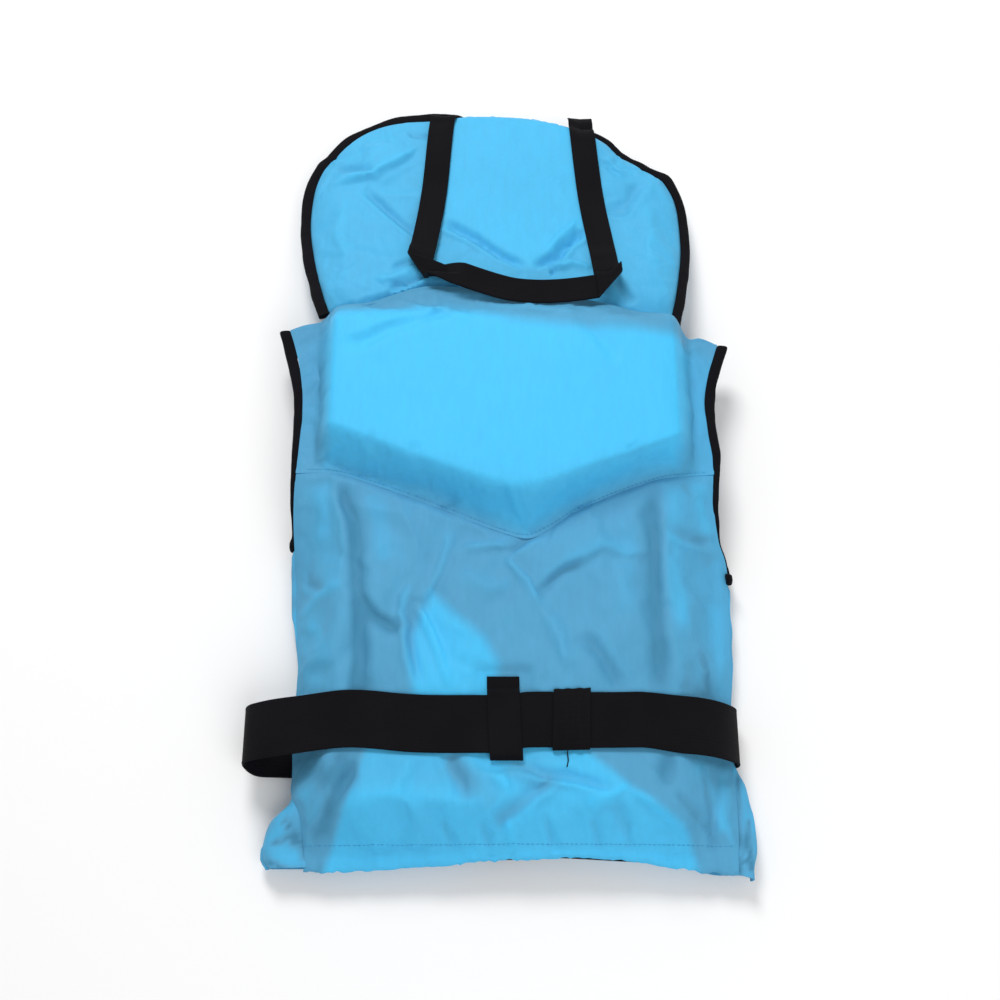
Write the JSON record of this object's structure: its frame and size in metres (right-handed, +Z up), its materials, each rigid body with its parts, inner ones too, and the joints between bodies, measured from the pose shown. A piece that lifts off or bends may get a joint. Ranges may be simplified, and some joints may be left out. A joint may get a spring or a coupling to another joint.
{
  "type": "life jacket",
  "caption": "Child's foam life jacket lying face down, back up, with a padded head collar, a lifting loop, a webbing belt with a side-release buckle and a front zip.",
  "frame": {"origin": "middle of the outside box, on the floor it lies on", "axes": "+X across the jacket to the right as seen from above with the collar away, +Y from the hem to the collar, +Z up out of the back"},
  "size_m": [0.3384, 0.6026, 0.0716],
  "materials": {
    "bright_nylon": "satin",
    "thin_nylon": "satin",
    "lining_nylon": "matte",
    "foam": "matte",
    "webbing": "matte",
    "binding": "matte",
    "elastic": "matte",
    "zip_tape": "matte",
    "black_plastic": "satin",
    "reflective_tape": "satin"
  },
  "bodies": {
    "jacket": {"armhole_binding_left": "binding", "armhole_binding_right": "binding", "back_lining": "lining_nylon", "belt_keeper": "webbing", "belt_strap": "webbing", "buckle_female": "black_plastic", "front_belt_loop_left": "webbing", "front_belt_loop_right": "webbing", "front_cover_left": "bright_nylon", "front_cover_right": "bright_nylon", "front_foam_left_inner": "foam", "front_foam_left_outer": "foam", "front_foam_right_inner": "foam", "front_foam_right_outer": "foam", "front_lining_left": "lining_nylon", "front_lining_right": "lining_nylon", "hem_casing": "thin_nylon", "hem_elastic": "elastic", "lower_back_panel": "thin_nylon", "reflective_patch_left": "reflective_tape", "reflective_patch_right": "reflective_tape", "shoulder_left": "bright_nylon", "shoulder_right": "bright_nylon", "yoke_foam_inner": "foam", "yoke_foam_outer": "foam", "yoke_shell": "bright_nylon", "zip_box": "black_plastic", "zip_stop_left": "black_plastic", "zip_stop_right": "black_plastic", "zip_tape_left": "zip_tape", "zip_tape_right": "zip_tape", "zip_teeth_left": "black_plastic", "zip_teeth_right": "black_plastic"},
    "collar": {"collar_shell": "bright_nylon", "collar_lining": "lining_nylon", "collar_foam_outer": "foam", "collar_foam_inner": "foam", "collar_binding": "binding"},
    "loop": {"lifting_loop": "webbing"},
    "slider": {"zip_slider": "black_plastic"},
    "pull": {"zip_pull": "black_plastic"},
    "buckle_half": {"buckle_male": "black_plastic", "belt_tail": "webbing"},
    "sleeve": {"belt_sleeve": "elastic"}
  },
  "joints": [
    {"name": "collar_fold", "type": "hinge", "parent": "jacket", "child": "collar", "pos_m": [0.00222, 0.11262, 0.05], "axis": [1, 0, 0], "range_deg": [0, 100]},
    {"name": "lifting_loop_swing", "type": "hinge", "parent": "collar", "child": "loop", "pos_m": [0.01022, 0.29962, 0.018], "axis": [-1, 0, 0], "range_deg": [0, 180]},
    {"name": "zip_slide", "type": "slide", "parent": "jacket", "child": "slider", "axis": [0, -1, 0], "range_m": [0, 0.291]},
    {"name": "zip_pull_swing", "type": "hinge", "parent": "slider", "child": "pull", "pos_m": [0.00522, 0.03462, 0.0178], "axis": [1, 0, 0], "range_deg": [0, 120]},
    {"name": "buckle_release", "type": "slide", "parent": "jacket", "child": "buckle_half", "axis": [1, 0, 0], "range_m": [0, 0.045]},
    {"name": "belt_sleeve_slide", "type": "slide", "parent": "jacket", "child": "sleeve", "axis": [1, 0, 0], "range_m": [-0.019, 0.03]}
  ]
}
